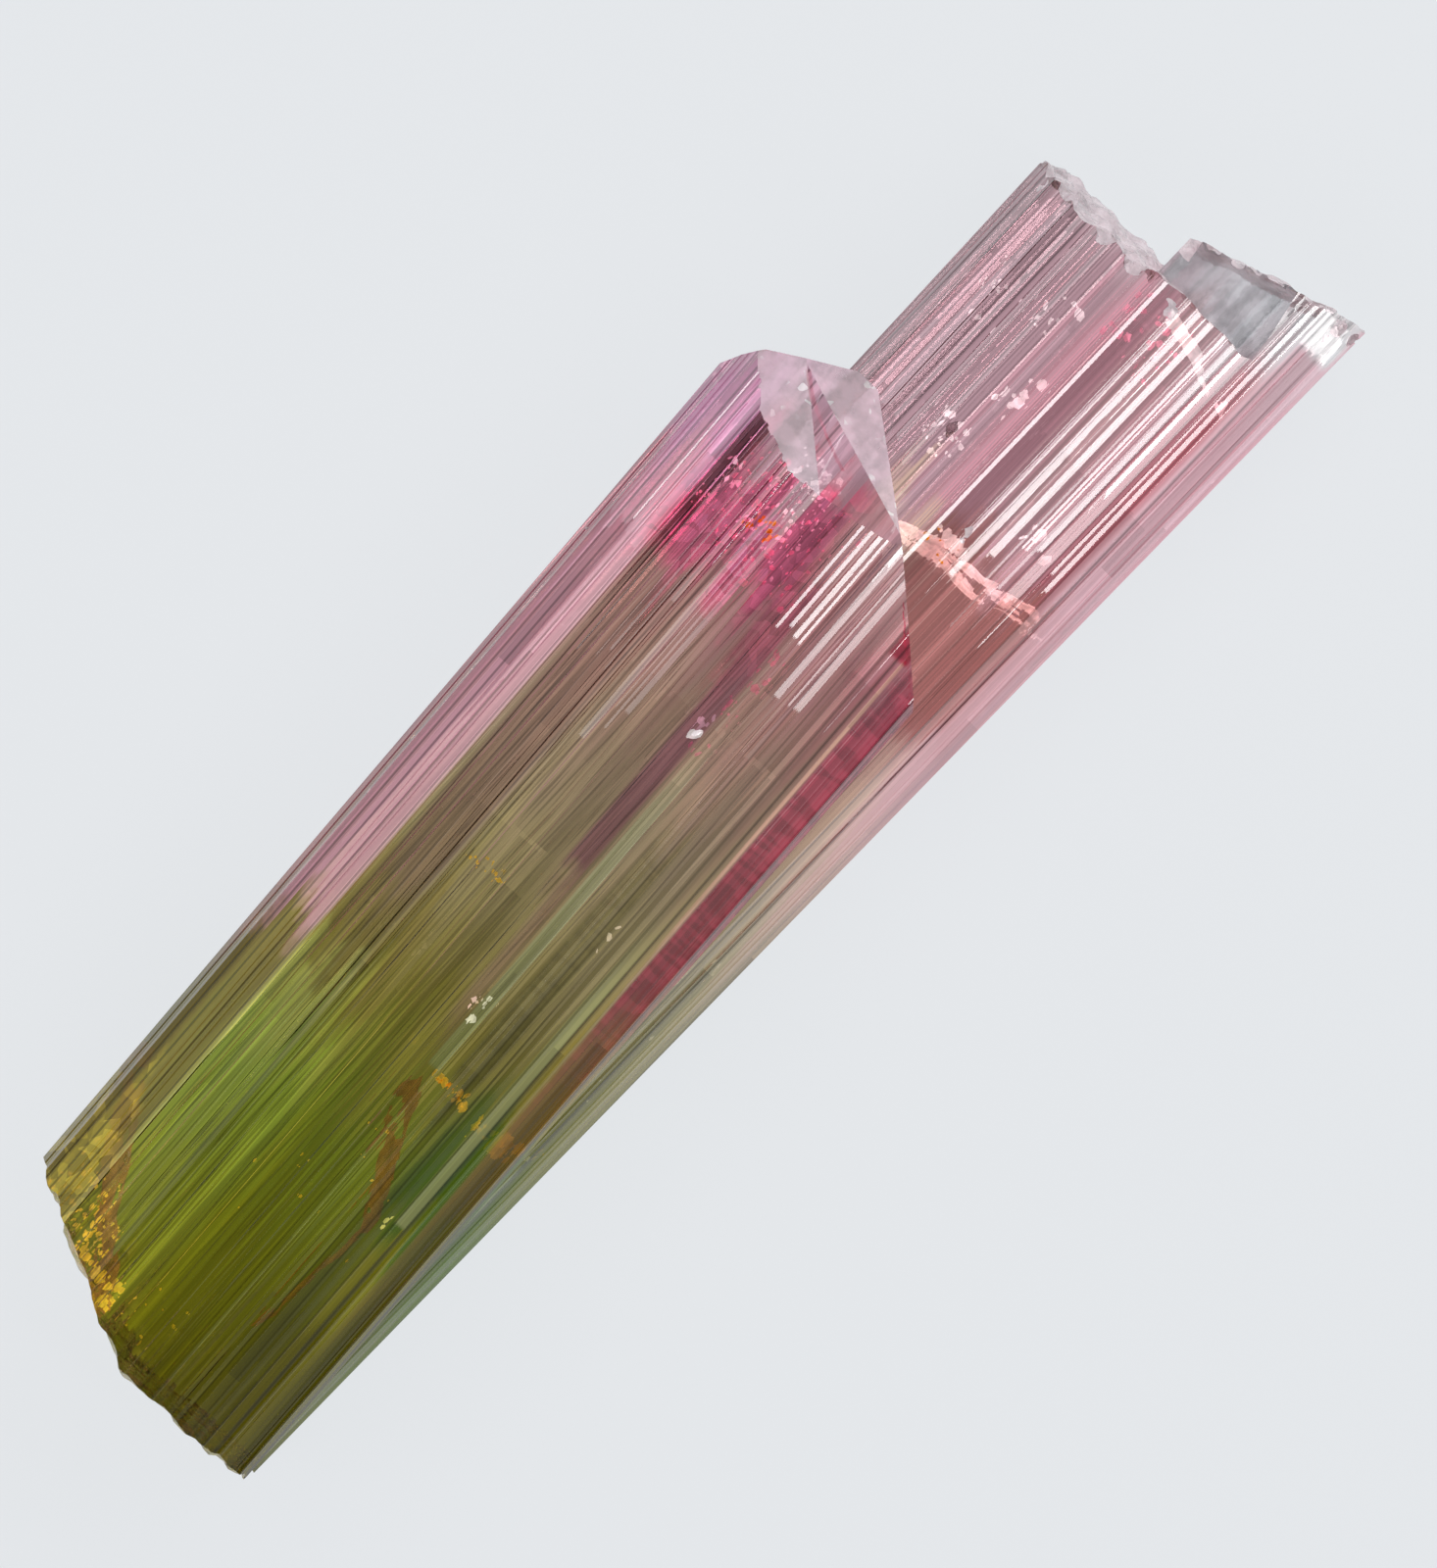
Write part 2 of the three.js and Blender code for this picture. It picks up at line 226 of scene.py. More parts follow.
TIP_RIM = [(37.95, 5.2, 8.1), (36.9, 3.6, 8.9), (35.9, 2.4, 9.7), (35.0, 1.4, 10.0),
           (33.2, -0.5, 9.6), (31.9, -1.95, 8.8)]
CREST_CRUMBS = [(46.35, 0.5, 6.85), (46.1, -0.4, 6.85), (45.85, -1.2, 6.7), (45.5, -2.0, 6.5),
                (45.35, -2.8, 6.2)]
CORNER_CRUMBS = [(49.6, -2.9, 5.8), (49.0, -2.9, 5.8), (48.3, -2.9, 5.8)]
LONG_FRACTURE = [(35.7, 2.2, 6.8), (36.0, 1.2, 6.85), (36.3, 0.4, 6.9), (36.2, -1.0, 6.8),
                 (36.65, -2.8, 6.2)]


def striated_profile(corners, length, rng):
    """Points round a section, each with the unit vector out of its face, its level above the
    face and the steps (place along, change) at which that level changes."""
    points = []
    for i, corner in enumerate(corners):
        start, end = Vector(corner), Vector(corners[(i + 1) % len(corners)])
        width = (end - start).length
        along = (end - start).normalized()
        outward = Vector((along.y, -along.x))
        points.append((start, outward, 0.0, []))
        if start.y == 0 and end.y == 0:
            continue
        hidden = outward.y < -0.2
        wider, relief = (HIDDEN_WIDTH, HIDDEN_RELIEF * RELIEF) if hidden else (1.0, RELIEF)
        reached = rng.uniform(*RISER_WIDTH)
        while True:
            flat = FLAT_WIDTH[0] + (FLAT_WIDTH[1] - FLAT_WIDTH[0]) * rng.random() ** 2
            flat *= wider
            if reached + flat > width - RISER_WIDTH[1]:
                break
            level = -relief * rng.random()
            steep = rng.random() < STEEP_SHARE
            rise = flat / wider * rng.uniform(-1, 1) * (STEEP_TILT if steep else TILT)
            steps = [
                (rng.uniform(0, length), relief * rng.uniform(-STEP_CHANGE, STEP_CHANGE))
                for _ in range(rng.randint(0, MOST_STEPS))
            ]
            points.append((start + along * reached, outward, level, steps))
            points.append((start + along * (reached + flat), outward, level + rise, steps))
            reached += flat + rng.uniform(*RISER_WIDTH)
    return points


def striated_prism(spec):
    """A closed prism along +X with its striations."""
    rng = random.Random(spec["seed"])
    points = striated_profile(spec["corners"], spec["length"], rng)
    bm = bmesh.new()
    ring = [bm.verts.new((-OVERRUN, place.x, place.y)) for place, _, _, _ in points]
    edges = [bm.edges.new((ring[i - 1], ring[i])) for i in range(len(ring))]
    length = spec["length"] + 2 * OVERRUN
    stations = round(length / STATION)
    step = Vector((length / stations, 0, 0))
    rings = [ring]
    for _ in range(stations):
        new = bmesh.ops.extrude_edge_only(bm, edges=edges)["geom"]
        edges = [g for g in new if isinstance(g, bmesh.types.BMEdge) and len(g.link_faces) == 1]
        verts = [g for g in new if isinstance(g, bmesh.types.BMVert)]
        bmesh.ops.translate(bm, verts=verts, vec=step)
        rings.append(verts)
    bmesh.ops.holes_fill(bm, edges=bm.edges, sides=0)
    low, high = spec["clear"]
    for face in bm.faces:
        face.material_index = 0 if low < face.calc_center_median().y < high else 1
    for station, verts in enumerate(rings):
        x = station * step.x - OVERRUN
        share = (x + OVERRUN) / length
        width = spec["base_scale"] + (1 - spec["base_scale"]) * share
        for vert, (place, outward, level, steps) in zip(verts, points):
            lift = level + sum(change for start, change in steps if start < x)
            moved = place + outward * min(lift, 0.0)
            vert.co = (x, moved.x * width, moved.y)
    bmesh.ops.recalc_face_normals(bm, faces=bm.faces)
    turn = Matrix.Rotation(spec["turn"], 4, "Z")
    bm.transform(Matrix.Translation((0, spec["axis_at_base"], 0)) @ turn)
    return bm


def cut_beyond(bm, point, outward, finish=0):
    """Cuts off what lies beyond a plane and closes the cut with one flat face."""
    geom = bm.verts[:] + bm.edges[:] + bm.faces[:]
    normal = Vector(outward).normalized()
    bmesh.ops.bisect_plane(
        bm, geom=geom, dist=1e-5, plane_co=point, plane_no=normal, clear_outer=True
    )
    open_edges = [e for e in bm.edges if len(e.link_faces) == 1]
    for face in bmesh.ops.contextual_create(bm, geom=open_edges)["faces"]:
        face.material_index = finish


def facing(a, b, c):
    """The unit normal of the plane through three points, on the side of +X."""
    a, b, c = Vector(a), Vector(b), Vector(c)
    normal = (b - a).cross(c - a).normalized()
    return normal if normal.x > 0 else -normal


def linked(bm, name):
    """A new object with the bmesh as its mesh."""
    mesh = bpy.data.meshes.new(name)
    bm.to_mesh(mesh)
    bm.free()
    piece = bpy.data.objects.new(name, mesh)
    bpy.context.scene.collection.objects.link(piece)
    return piece


def breaking_block(point, outward, depth, seed, finishes, size=BREAK_SIZE, cell=BREAK_CELL):
    """A block whose near face is an uneven break through the point, for cutting what is beyond.
    The finishes are the break's and the block's smooth sides'."""
    bm = bmesh.new()
    cells = round(size / cell)
    bmesh.ops.create_grid(bm, x_segments=cells, y_segments=cells, size=size / 2)
    rim = [e for e in bm.edges if len(e.link_faces) == 1]
    new = bmesh.ops.extrude_edge_only(bm, edges=rim)["geom"]
    far = [g for g in new if isinstance(g, bmesh.types.BMVert)]
    for face in (g for g in new if isinstance(g, bmesh.types.BMFace)):
        face.material_index = 1
    bmesh.ops.translate(bm, verts=far, vec=(0, 0, size))
    bmesh.ops.holes_fill(bm, edges=bm.edges, sides=0)
    offset = Vector((seed * 3.7, seed * 1.3, 0))
    for vert in bm.verts:
        if vert.co.z < size / 2:
            vert.co.z += depth * broken_height(vert.co + offset)
    bmesh.ops.recalc_face_normals(bm, faces=bm.faces)
    direction = Vector(outward).normalized().to_track_quat("Z", "Y").to_matrix().to_4x4()
    bm.transform(Matrix.Translation(point) @ direction)
    block = linked(bm, "break")
    for finish in finishes:
        block.data.materials.append(finish)
    return block


def broken_height(place):
    """Shell-like hollows of a few sizes, from about -1 to 1."""
    large = noise.voronoi(place * 0.5)[0]
    small = noise.voronoi(place * 1.8)[0]
    return (large[1] - large[0]) * 1.1 + (small[1] - small[0]) * 0.5 + noise.noise(place) - 0.65


def join(target, tool, operation):
    """Joins or cuts with another solid, which is used up."""
    modifier = target.modifiers.new("join", "BOOLEAN")
    modifier.object = tool
    modifier.operation = operation
    modifier.solver = "MANIFOLD"
    modifier.material_mode = "TRANSFER"
    bpy.context.view_layer.update()
    made = target.evaluated_get(bpy.context.evaluated_depsgraph_get())
    mesh = bpy.data.meshes.new_from_object(made)
    target.modifiers.clear()
    target.data = mesh
    bpy.data.objects.remove(tool)


def short_prism(finishes):
    prism_bm = striated_prism(SHORT)
    middle = facing(MIDDLE_FACET_TOP, MIDDLE_FACET_FOOT, MIDDLE_FACET_EDGE)
    cut_beyond(prism_bm, APEX, facing(APEX, UPPER_FACET_FOOT, UPPER_FACET_RIM), finish=2)
    cut_beyond(prism_bm, MIDDLE_FACET_TOP, middle, finish=1)
    cut_beyond(prism_bm, APEX, facing(APEX, MIDDLE_FACET_EDGE, SHORT_TIP_CORNER), finish=2)
    cut_beyond(prism_bm, SHORT_LOW_END, (7.46, -6.32, -0.8))
    cut_beyond(prism_bm, SHOULDER, (0.58, 0.82, -0.1), finish=1)
    cut_beyond(prism_bm, PEAK, (0.85, 0.53, -0.1), finish=1)
    cut_beyond(prism_bm, SHORT_TIP_CORNER, (1, 0, -0.15))
    prism = linked(prism_bm, "short")
    for finish in finishes:
        prism.data.materials.append(finish)
    return prism


def long_prism(finishes, broken, painted_mirror):
    prism = linked(striated_prism(LONG), "long")
    for finish in finishes:
        prism.data.materials.append(finish)
    upper = (UPPER_END, NOTCH_Y + BREAK_SIZE / 2, 4)
    join(prism, breaking_block(upper, (1, 0, 0.1), 0.35, 3, (broken, broken)), "DIFFERENCE")
    crest = (46.4, NOTCH_Y - 0.6 + BREAK_SIZE / 2, 7.15)
    join(prism, breaking_block(crest, (0.75, 0.12, 0.65), 0.3, 8, (broken, broken)), "DIFFERENCE")
    ledge = (LEDGE_X, LEDGE_MIDDLE_Y, LEDGE_Z + LEDGE_SIZE / 2)
    block = breaking_block(ledge, (1, -0.02, 0.06), 0.2, 6, (broken, painted_mirror), LEDGE_SIZE, 0.1)
    join(prism, block, "DIFFERENCE")
    far_break = breaking_block(FAR_CORNER, (5.5, 1.63, -0.1), 0.14, 5, (broken, broken))
    join(prism, far_break, "DIFFERENCE")
    return prism


def chips(finish, places):
    """The chipped places of the edges, as one tool of separate rounded lumps."""
    bm = bmesh.new()
    for place, size, turn in places:
        verts = bmesh.ops.create_icosphere(bm, subdivisions=3, radius=0.5)["verts"]
        shape = Matrix.LocRotScale(place, Euler((0, 0, math.radians(turn))), size)
        bmesh.ops.transform(bm, matrix=shape, verts=verts)
        for vert in verts:
            vert.co += CHIP_WAVE * noise.noise_vector(vert.co * 3.1)
    bmesh.ops.recalc_face_normals(bm, faces=bm.faces)
    tool = linked(bm, "chips")
    tool.data.materials.append(finish)
    return tool


def crystal(short_finishes, long_finishes, painted_mirror, tip_break, base_break):
    body = short_prism(short_finishes)
    join(body, long_prism(long_finishes, tip_break, painted_mirror), "UNION")
    for point, outward, seed in BASE_BREAKS:
        block = breaking_block(point, outward, 0.3, seed, (base_break, base_break), 24, 0.25)
        join(body, block, "DIFFERENCE")
    join(body, chips(tip_break, TIP_CHIPS), "DIFFERENCE")
    join(body, chips(base_break, BASE_CHIPS), "DIFFERENCE")
    body.data.transform(PLACE)
    body.name = body.data.name = "crystal"
    return body


def add_flake(bm, centre, length, width, tilt, rng):
    """A thin many-sided plate, longest along the prism unless it is turned."""
    sides = rng.randint(4, 6)
    face = bmesh.ops.create_circle(bm, cap_ends=True, segments=sides, radius=1)["verts"]
    for vert in face:
        vert.co *= rng.uniform(0.6, 1.0)
    cap = face[0].link_faces[:1]
    far = [g for g in bmesh.ops.extrude_face_region(bm, geom=cap)["geom"]
           if isinstance(g, bmesh.types.BMVert)]
    bmesh.ops.translate(bm, verts=far, vec=(0, 0, FLAKE_THICKNESS))
    angles = (rng.uniform(-tilt, tilt), rng.uniform(-tilt, tilt), rng.uniform(-0.5, 0.5))
    turned = Matrix.LocRotScale(centre, Euler(angles), (length / 2, width / 2, 1))
    bmesh.ops.transform(bm, matrix=turned, verts=face + far)


def deep_inside(body, place):
    """Whether a place in the drawing is well under the crystal's surface."""
    here = PLACE @ Vector(place)
    _, nearest, outward, _ = body.closest_point_on_mesh(here)
    gap = here - nearest
    return gap.dot(outward) < 0 and gap.length > LEAST_COVER * MM


def flakes(name, seed, finish, body, clusters):
    """One piece of many flakes. A cluster has two corners, a count, sizes and a tilt."""
    rng = random.Random(seed)
    bm = bmesh.new()
    for low, high, count, (small, large), tilt in clusters:
        for _ in range(count):
            centre = Vector([rng.uniform(a, b) for a, b in zip(low, high)])
            length = small + (large - small) * rng.random() ** 2
            width = length * rng.uniform(0.35, 0.9)
            if deep_inside(body, centre):
                add_flake(bm, centre, length, width, tilt, rng)
    bmesh.ops.recalc_face_normals(bm, faces=bm.faces)
    return placed(bm, name, finish)


def crack(name, seed, finish, body, line, lean, wave=0.12, torn_above=0.12):
    """A thin torn surface that hangs from a line inside the crystal."""
    bm = bmesh.new()
    corners = [Vector(corner) for corner in line]
    points = [corners[0]]
    for start, end in zip(corners, corners[1:]):
        parts = max(1, round((end - start).length / CRACK_CELL))
        points += [start.lerp(end, (i + 1) / parts) for i in range(parts)]
    verts = [bm.verts.new(point) for point in points]
    edges = [bm.edges.new(pair) for pair in zip(verts, verts[1:])]
    rows = round(Vector(lean).length / CRACK_CELL)
    for _ in range(rows):
        new = bmesh.ops.extrude_edge_only(bm, edges=edges)["geom"]
        lower = [g for g in new if isinstance(g, bmesh.types.BMVert)]
        edges = [g for g in new if isinstance(g, bmesh.types.BMEdge)
                 and all(v in lower for v in g.verts)]
        bmesh.ops.translate(bm, verts=lower, vec=Vector(lean) / rows)
    offset = Vector((seed * 2.3, seed * 1.1, 0))
    for vert in bm.verts:
        vert.co += wave * noise.noise_vector(vert.co * 1.3 + offset)
    torn = []
    for face in bm.faces:
        middle = face.calc_center_median()
        if noise.noise(middle * 1.1 + offset) > torn_above or not deep_inside(body, middle):
            torn.append(face)
    bmesh.ops.delete(bm, geom=torn, context="FACES")
    bmesh.ops.recalc_face_normals(bm, faces=bm.faces)
    bmesh.ops.solidify(bm, geom=bm.faces[:], thickness=FLAKE_THICKNESS)
    bmesh.ops.recalc_face_normals(bm, faces=bm.faces)
    return placed(bm, name, finish)


def placed(bm, name, finish):
    """A finished piece, moved from the drawing to its place in the frame."""
    bm.transform(PLACE)
    piece = linked(bm, name)
    piece.data.materials.append(finish)
    return piece


FLOOR_GLOW = 0.735


def tint(colour):
    """The shader's colour for one seen as (red, green, blue) out of 255 against the floor."""
    shares = [c / 255 for c in colour]
    linear = [s / 12.92 if s <= 0.04045 else ((s + 0.055) / 1.055) ** 2.4 for s in shares]
    return (*[min(1.0, c / FLOOR_GLOW) for c in linear], 1.0)


ABSORPTION_COLOUR = (0.93, 0.86, 0.87, 1)
ABSORPTION = 25.0


class Nodes:
    """Adds and wires the nodes of one material."""

    def __init__(self, name):
        self.material = bpy.data.materials.new(name)
        self.material.use_nodes = True
        self.tree = self.material.node_tree
        self.shader = self.tree.nodes["Principled BSDF"].inputs

    def put(self, socket, value):
        if isinstance(value, bpy.types.NodeSocket):
            self.tree.links.new(value, socket)
        else:
            socket.default_value = value

    def add(self, kind, inputs=(), **settings):
        node = self.tree.nodes.new("ShaderNode" + kind)
        for name, value in settings.items():
            setattr(node, name, value)
        for key, value in dict(inputs).items():
            self.put(node.inputs[key], value)
        return node

    def maths(self, operation, *values):
        return self.add("Math", enumerate(values), operation=operation).outputs[0]

    def ease(self, value, start, end, low=0.0, high=1.0):
        """Goes smoothly from low at start to high at end."""
        inputs = {"Value": value, "From Min": start, "From Max": end, "To Min": low, "To Max": high}
        return self.add("MapRange", inputs, interpolation_type="SMOOTHSTEP").outputs["Result"]

    def window(self, value, low, high, soft):
        """1 between low and high, falling to 0 over soft on each side."""
        half = (high - low) / 2
        away = self.maths("ABSOLUTE", self.maths("SUBTRACT", value, low + half))
        return self.ease(away, half + soft, half - soft)

    def mix(self, share, under, over, blend="MIX"):
        node = self.add("Mix", data_type="RGBA", blend_type=blend)
        for key, value in {"Factor": share, "A": under, "B": over}.items():
            self.put(next(s for s in node.inputs if s.name == key and s.enabled), value)
        return next(s for s in node.outputs if s.enabled)

    def grey(self, value):
        return self.add("CombineXYZ", {0: value, 1: value, 2: value}).outputs[0]

    def stretched(self, vector, scale):
        """The vector times a scale for each axis."""
        return self.add("VectorMath", {0: vector, 1: scale}, operation="MULTIPLY").outputs[0]

    def noise(self, vector, scale, detail=2.0):
        inputs = {"Vector": self.stretched(vector, scale), "Scale": 1.0, "Detail": detail}
        return self.add("TexNoise", inputs).outputs["Fac"]

    def cells(self, vector, scale):
        """A random number for each cell of a pattern of cells."""
        inputs = {"Vector": self.stretched(vector, scale), "Scale": 1.0}
        colour = self.add("TexVoronoi", inputs).outputs["Color"]
        return self.add("SeparateColor", {0: colour}).outputs[0]

    def cell_edges(self, vector, scale):
        """The distance to the nearest edge between cells."""
        inputs = {"Vector": self.stretched(vector, scale), "Scale": 1.0}
        return self.add("TexVoronoi", inputs, feature="DISTANCE_TO_EDGE").outputs[0]

    def bars(self, across, scale):
        """Three random numbers for each of a row of bars of uneven width."""
        inputs = {"W": across, "Scale": scale}
        colour = self.add("TexVoronoi", inputs, voronoi_dimensions="1D").outputs["Color"]
        return self.add("SeparateColor", {0: colour}).outputs

    def bar_tones(self, across, share, scale, low, high):
        """A tone for each bar, which changes once, at a place of the bar's own."""
        first, second, place = self.bars(across, scale)
        changed = self.maths("GREATER_THAN", share, place)
        tone = self.maths("MULTIPLY_ADD", self.maths("SUBTRACT", second, first), changed, first)
        return self.ease(tone, 0.1, 0.9, low, high)

    def bar_edges(self, across, scale):
        """The distance to the nearest edge of a bar, in bars."""
        inputs = {"W": across, "Scale": scale}
        settings = {"voronoi_dimensions": "1D", "feature": "DISTANCE_TO_EDGE"}
        return self.add("TexVoronoi", inputs, **settings).outputs[0]

    def fine_ribs(self, across, scale):
        """Ridges of uneven height, one in each bar."""
        inputs = {"W": across, "Scale": scale}
        bars = self.add("TexVoronoi", inputs, voronoi_dimensions="1D").outputs
        height = self.add("SeparateColor", {0: bars["Color"]}).outputs[0]
        return self.maths("MULTIPLY", bars["Distance"], height)

    def millimetres(self, axis_y=0.0, turn=0.0):
        """Places on a piece in the drawing's millimetres, along and across a prism."""
        here = self.add("TexCoord").outputs["Object"]
        inputs = {"Vector": here, "Location": ZERO + Vector((0, axis_y, 0)) * MM,
                  "Rotation": (0, 0, turn), "Scale": (MM, MM, MM)}
        return self.add("Mapping", inputs, vector_type="TEXTURE").outputs[0]

    def ramp(self, along, stops):
        node = self.add("ValToRGB", {0: self.maths("DIVIDE", along, LONG["length"])})
        elements = node.color_ramp.elements
        for place, colour in stops:
            elements.new(place / LONG["length"]).color = tint(colour)
        elements.remove(elements[0])
        elements.remove(elements[-1])
        return node.outputs["Color"]

    def bump(self, height, strength, distance):
        inputs = {"Height": height, "Strength": strength, "Distance": distance * MM}
        self.put(self.shader["Normal"], self.add("Bump", inputs).outputs["Normal"])

    def clear(self, transmission, roughness):
        """Sets the tourmaline's own values. The clear faces lead into an absorbing volume."""
        self.shader["Transmission Weight"].default_value = transmission
        self.shader["Roughness"].default_value = roughness
        self.shader["IOR"].default_value = 1.63
        if transmission == 1.0:
            volume = {"Color": ABSORPTION_COLOUR, "Density": ABSORPTION}
            absorbed = self.add("VolumeAbsorption", volume).outputs[0]
            self.put(self.tree.nodes["Material Output"].inputs["Volume"], absorbed)
        return self.material


# Colour zones. Each has its reach along the prism and across it in millimetres, how soft its
# edges are along and across, its colour as seen, and how much of it there is.
SHORT_RAMP = [
    (0.0, (130, 120, 8)), (5.0, (150, 140, 20)), (10.0, (154, 144, 38)), (15.0, (146, 127, 52)),
    (19.0, (160, 139, 90)), (23.0, (150, 126, 96)), (27.0, (140, 104, 92)),
    (31.0, (156, 92, 98)), (34.0, (190, 128, 138)), (38.0, (214, 172, 190)),
]
SHORT_ZONES = [
    ("dark foot", (-3, 6.5), (-6, -1.9), 3.0, 0.9, (96, 86, 0), 0.9),
    ("dark flank foot", (-3, 12), (-6, -4.8), 3.0, 0.15, (88, 80, 0), 0.8),
    ("lime band", (2.0, 14.3), (1.9, 3.8), 0.8, 0.08, (222, 218, 116), 0.95),
    ("lime wash", (0.5, 13), (0.6, 2.0), 1.5, 0.4, (198, 196, 76), 0.85),
    ("brown patch", (14.3, 17.5), (1.0, 3.9), 0.6, 0.3, (140, 116, 54), 0.85),
    ("smoky edge", (-1, 14), (3.9, 6.2), 1.0, 0.1, (124, 106, 52), 0.85),
    # The lavender edge is a pinkish face with a painted sheen: its pale lavender stands for light
    # reflected from the upper left.
    ("lavender edge painted sheen", (14.2, 36), (3.85, 5.4), 0.7, 0.12, (226, 162, 178), 0.95),
    ("rose rim", (13, 40), (5.45, 6.3), 3.0, 0.08, (190, 104, 124), 0.9),
    ("brown flat", (17, 31), (2.0, 3.6), 2.0, 0.1, (128, 86, 78), 0.8),
    ("emerald", (8.6, 13.4), (-6, -3.2), 1.2, 0.4, (54, 96, 8), 0.85),
    ("golden flank", (12.6, 15), (-6, -5.0), 0.5, 0.2, (136, 118, 4), 0.8),
    ("dark band", (13.5, 24), (-3.2, -2.3), 1.5, 0.1, (94, 84, 46), 0.85),
    # The two pale strips are painted reflections on narrow flats.
    ("upper strip painted reflection", (13.5, 25), (-1.95, -1.52), 0.1, 0.02, (162, 170, 122), 0.85),
    ("lower strip painted reflection", (9.05, 20), (-4.34, -3.92), 0.1, 0.02, (166, 166, 112), 0.9),
    ("rose tail", (14, 20), (-1.45, -1.0), 1.2, 0.15, (180, 132, 112), 0.8),
    ("raspberry streak", (19.4, 28.5), (-1.35, -0.6), 1.0, 0.1, (112, 58, 74), 0.95),
    ("raspberry end", (27.5, 31.8), (-1.3, -0.3), 1.0, 0.14, (150, 48, 74), 0.85),
    ("pale stripe", (21, 33.2), (-4.66, -4.54), 2.5, 0.04, (255, 172, 150), 0.95),
    ("rust-rose foot", (8, 20), (-5.6, -4.75), 4.0, 0.06, (116, 78, 30), 0.8),
    ("crimson band", (17, 33.6), (-6, -4.68), 3.5, 0.05, (146, 42, 64), 0.95),
    ("crimson end", (32.3, 37), (-4.75, -4.0), 0.1, 0.08, (160, 34, 58), 0.95),
    ("hot core", (30.4, 34.5), (-0.5, 4.1), 0.9, 0.5, (226, 62, 106), 0.95),
    ("lilac shoulder", (33.0, 37), (3.4, 6), 1.2, 0.4, (206, 138, 176), 0.9),
]
LONG_RAMP = [
    (0.0, (92, 90, 8)), (6.0, (86, 98, 14)), (10.0, (84, 108, 26)), (14.0, (124, 122, 54)),
    (20.0, (156, 146, 104)), (24.0, (184, 164, 134)), (28.0, (226, 184, 162)),
    (31.0, (255, 180, 170)), (36.0, (255, 170, 178)), (44.0, (255, 162, 172)),
    (50.0, (255, 190, 198)),
]
LONG_ZONES = [
    ("mauve half", (31, 47.5), (0.9, 6), 2.0, 0.3, (186, 150, 158), 0.95),
    ("mauve rim", (31, 47.5), (4.0, 6), 2.0, 0.1, (160, 126, 132), 0.9),
    ("rose heart", (31, 46.8), (-0.6, 0.9), 1.5, 0.2, (255, 160, 172), 0.9),
    ("salmon flat", (31, 46.5), (-4.2, -2.9), 2.0, 0.2, (196, 106, 116), 0.9),
    ("rose flank", (26, 52), (-6, -4.25), 5.0, 0.1, (255, 170, 180), 0.9),
    ("white corner", (48.3, 52), (-5.4, -4.2), 0.25, 0.1, (255, 244, 246), 1.0),
    ("fracture foot", (31, 36.6), (-4.4, 0.2), 0.6, 0.3, (192, 122, 116), 0.9),
    ("cream window", (31, 36.6), (0.0, 2.2), 0.6, 0.3, (236, 186, 168), 0.9),
    ("pale highlight", (37.5, 46.7), (-1.9, -0.7), 0.6, 0.12, (250, 176, 178), 0.9),
    ("edge line", (-3, 12.4), (-4.4, -4.28), 0.5, 0.03, (206, 214, 180), 0.9),
]
CRISP_ZONE_FADE = 3.0
# Bright and dark streaks along the striations are painted light and shade, standing for refraction through
# the striated faces: each is a scale, a darkest tone and a lightest tone.
PAINTED_LIGHT_STREAKS = (0.7, 0.84, 1.1), (2.2, 0.7, 1.18), (6.5, 0.76, 1.12)
RIBBED = "crimson band", "crimson end", "dark band"
CRACKLED = "hot core", "raspberry end"


